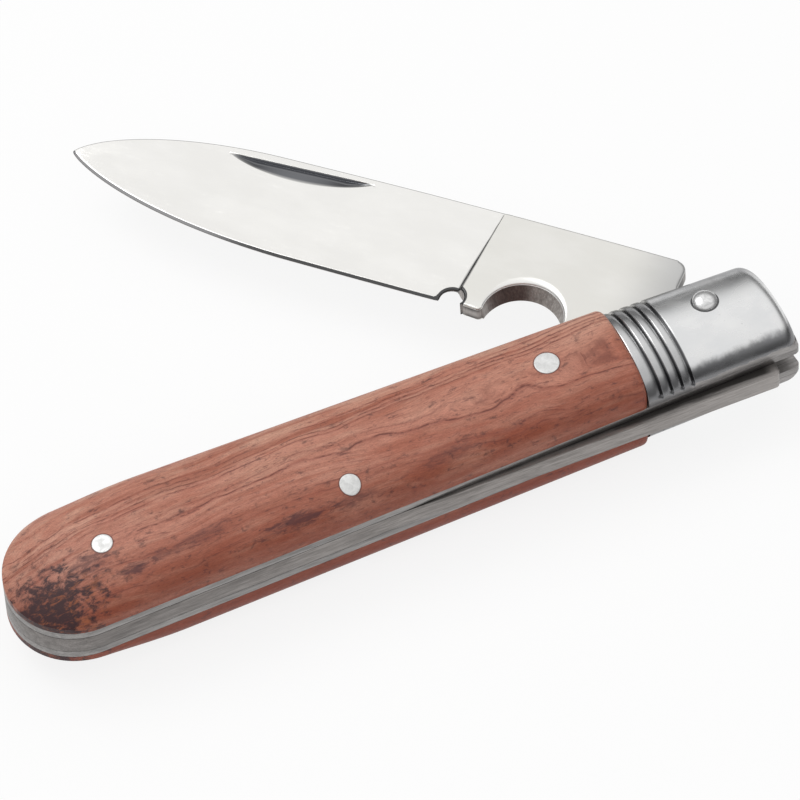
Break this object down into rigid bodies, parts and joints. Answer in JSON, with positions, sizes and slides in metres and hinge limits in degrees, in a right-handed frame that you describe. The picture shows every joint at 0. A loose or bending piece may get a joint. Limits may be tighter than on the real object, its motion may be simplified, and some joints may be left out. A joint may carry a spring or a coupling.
{
  "type": "folding pocket knife",
  "caption": "Slip-joint folding pocket knife with wooden scales, grooved bolsters and a wire-stripping notch in its single blade.",
  "frame": {"origin": "on the flat crown of the rear scale, below the middle of the closed length and level with the blade's axis", "axes": "+X from the butt to the bolsters, +Y from the spine to the side the blade folds into, +Z out of the front scale"},
  "size_m": [0.11, 0.0766, 0.0167],
  "materials": {
    "blade_steel": "polished blade with satin ricasso",
    "spring_steel": "brushed spring steel",
    "liner_steel": "brushed sheet steel",
    "bolster_steel": "polished",
    "scale_wood": "oiled reddish hardwood with dark grain",
    "rivet_steel": "polished domed heads",
    "pin_aluminium": "flush, lightly scratched"
  },
  "bodies": {
    "handle": {"backspring": "spring_steel", "front_liner": "liner_steel", "rear_liner": "liner_steel", "front_bolster": "bolster_steel", "rear_bolster": "bolster_steel", "front_scale": "scale_wood", "rear_scale": "scale_wood", "pivot_rivet": "rivet_steel", "front_scale_pin": "pin_aluminium", "rear_scale_pin": "pin_aluminium", "middle_pin": "pin_aluminium", "butt_pin": "pin_aluminium"},
    "blade": {"blade": "blade_steel"},
    "spring": {"backspring_tongue": "spring_steel"}
  },
  "joints": [
    {"name": "blade_pivot", "type": "hinge", "parent": "handle", "child": "blade", "pos_m": [0.0454, 0, 0.00835], "axis": [0, 0, 1], "range_deg": [-133.7, 42.1]},
    {"name": "spring_flex", "type": "hinge", "parent": "handle", "child": "spring", "pos_m": [-0.00875, -0.00577, 0.00835], "axis": [0, 0, -1], "range_deg": [-1.8, 0], "stiffness_Nm_per_rad": 0.8}
  ]
}
